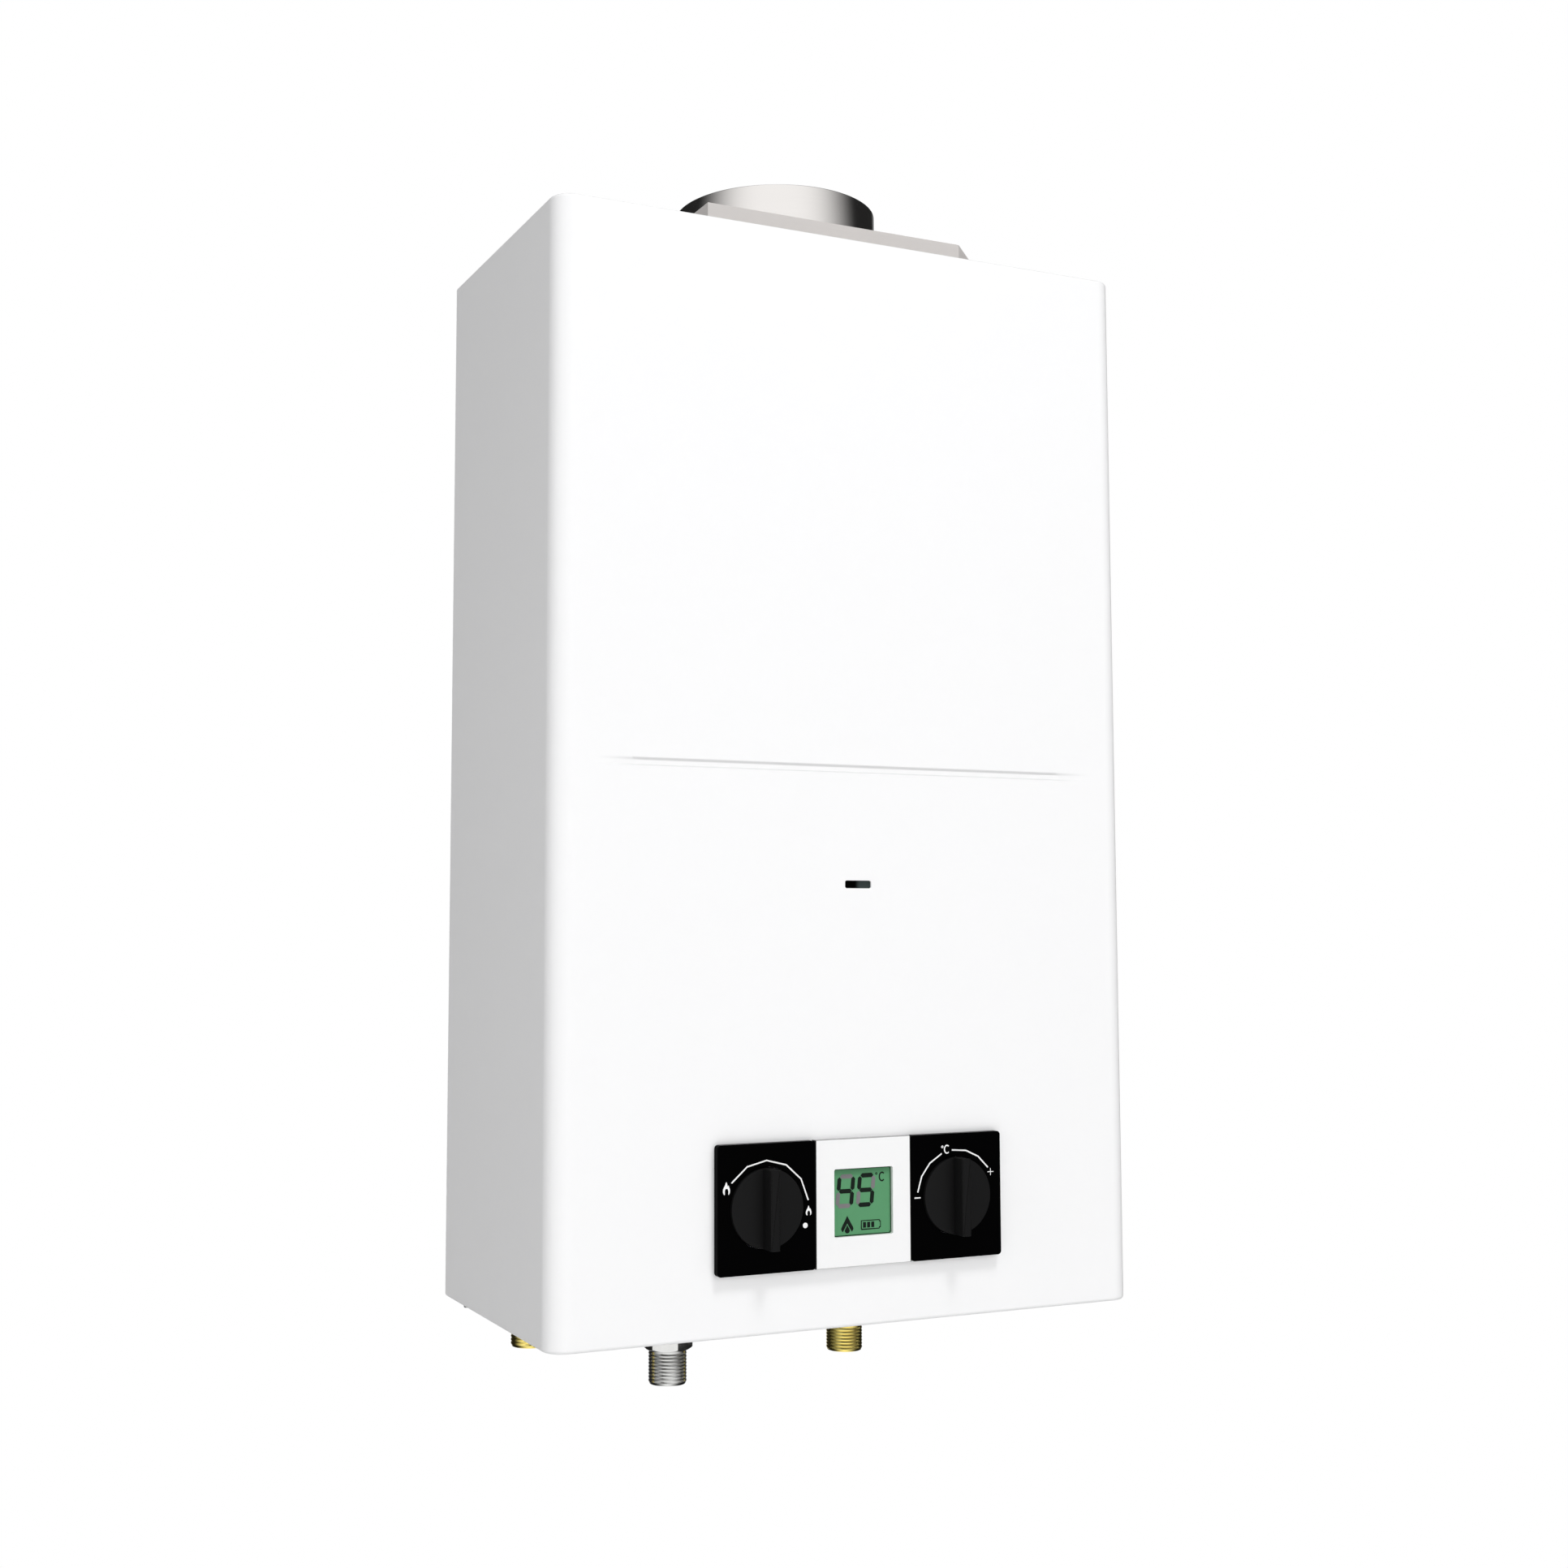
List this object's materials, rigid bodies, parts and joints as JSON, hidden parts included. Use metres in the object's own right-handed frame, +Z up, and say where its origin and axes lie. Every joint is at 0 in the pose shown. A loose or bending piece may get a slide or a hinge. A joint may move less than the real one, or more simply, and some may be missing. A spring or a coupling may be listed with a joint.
{
  "type": "gas water heater",
  "caption": "Wall-hung open-flue gas water heater: white casing, two bar-grip knobs, liquid-crystal display, draught hood with round flue collar.",
  "frame": {"origin": "on the wall plane, midway between the two hanging slots of the back plate", "axes": "+X to the user's right, +Y into the wall, +Z up; the front faces -Y"},
  "size_m": [0.35, 0.1871, 0.6706],
  "materials": {
    "casing_enamel": "gloss white baked enamel",
    "galvanised_steel": "zinc-coated sheet",
    "zinc_steel": "bright zinc plate",
    "hood_steel": "satin aluminised sheet",
    "collar_steel": "polished stainless steel",
    "heat_glass": "smoked heat-proof glass",
    "white_plastic": "fine satin white moulding",
    "black_inlay": "gloss black",
    "knob_plastic": "satin black",
    "display_glass": "green backlit liquid crystal",
    "light_box_plastic": "diffusing white",
    "circuit_board": "green solder mask",
    "spindle_steel": "turned steel",
    "nickel": "nickel-plated brass",
    "brass": "machined brass",
    "cast_alloy": "shot-blasted pressure casting",
    "solenoid_steel": "dark wound coil and yoke",
    "gas_tube": "aluminised steel tube",
    "burner_steel": "stainless, heat-tinted",
    "copper": "tinned and bare copper",
    "rubber": "moulded rubber",
    "filter_mesh": "nylon strainer",
    "switch_plastic": "black phenolic",
    "spring_steel": "spring strip",
    "ceramic": "glazed alumina",
    "box_plastic": "off-white flame-proof moulding",
    "battery_plastic": "dark grey moulding",
    "battery_jacket": "plain printed jacket",
    "baffle_steel": "aluminised sheet"
  },
  "bodies": {
    "heater": {"back_plate": "galvanised_steel", "front_casing": "casing_enamel", "casing_screws": "zinc_steel", "lower_bracket": "galvanised_steel", "sight_glass": "heat_glass", "sight_glass_clip": "spring_steel", "panel_body": "white_plastic", "panel_inlays": "black_inlay", "display_panel": "display_glass", "display_light_box": "light_box_plastic", "display_board": "circuit_board", "gas_inlet_fitting": "nickel", "cold_inlet_fitting": "brass", "hot_outlet_fitting": "brass", "fitting_locknuts": "brass", "gas_valve_body": "cast_alloy", "gas_valve_cover": "cast_alloy", "tap_bonnet": "zinc_steel", "solenoid": "solenoid_steel", "gas_pipe": "gas_tube", "gas_manifold": "cast_alloy", "gas_injectors": "brass", "burner_tray": "galvanised_steel", "burner_blades": "burner_steel", "combustion_shell": "copper", "exchanger_fins": "copper", "exchanger_coil": "copper", "cold_feed_pipe": "copper", "hot_pipe": "copper", "union_nuts": "brass", "support_rails": "galvanised_steel", "water_valve_body": "brass", "water_valve_cover": "brass", "diaphragm": "rubber", "valve_screws": "zinc_steel", "selector_gland": "brass", "water_filter": "filter_mesh", "microswitch": "switch_plastic", "electrodes": "ceramic", "electrode_brackets": "zinc_steel", "overheat_thermostat": "zinc_steel", "flue_gas_thermostat": "zinc_steel", "outlet_temperature_sensor": "nickel", "flue_riser": "hood_steel", "draught_hood": "hood_steel", "flue_collar": "collar_steel", "hood_baffle": "baffle_steel", "ignition_box": "box_plastic", "battery_holder": "battery_plastic", "battery_cells": "battery_jacket", "battery_contacts": "spring_steel"},
    "gas_control": {"gas_knob": "knob_plastic", "gas_spindle": "spindle_steel", "gas_tap_plug": "brass"},
    "temperature_control": {"temperature_knob": "knob_plastic", "temperature_spindle": "brass"},
    "linkage": {"linkage_rod": "spindle_steel"},
    "switch_lever": {"microswitch_lever": "spring_steel"},
    "safety_plunger": {"solenoid_plunger": "spindle_steel"},
    "bay_lid": {"battery_lid": "battery_plastic"}
  },
  "joints": [
    {"name": "gas_knob_turn", "type": "hinge", "parent": "heater", "child": "gas_control", "pos_m": [-0.0574, -0.17, -0.4827], "axis": [0, 1, 0], "range_deg": [-64, 114]},
    {"name": "temperature_knob_turn", "type": "hinge", "parent": "heater", "child": "temperature_control", "pos_m": [0.0574, -0.17, -0.4827], "axis": [0, 1, 0], "range_deg": [-90, 62]},
    {"name": "linkage_slide", "type": "slide", "parent": "heater", "child": "linkage", "axis": [-1, 0, 0], "range_m": [0, 0.004], "stiffness_N_per_m": 400},
    {"name": "switch_lever_pivot", "type": "hinge", "parent": "heater", "child": "switch_lever", "pos_m": [-0.0102, -0.095, -0.4795], "axis": [0, 1, 0], "range_deg": [0, 20.01]},
    {"name": "plunger_slide", "type": "slide", "parent": "heater", "child": "safety_plunger", "axis": [0, 0, 1], "range_m": [0, 0.0025], "stiffness_N_per_m": 200},
    {"name": "battery_lid_hinge", "type": "hinge", "parent": "heater", "child": "bay_lid", "pos_m": [0.119, -0.035, -0.535], "axis": [-1, 0, 0], "range_deg": [0, 95]}
  ],
  "couplings": [
    {"joint": "switch_lever_pivot", "follows": "linkage_slide", "rad_per_m": 87.27}
  ]
}
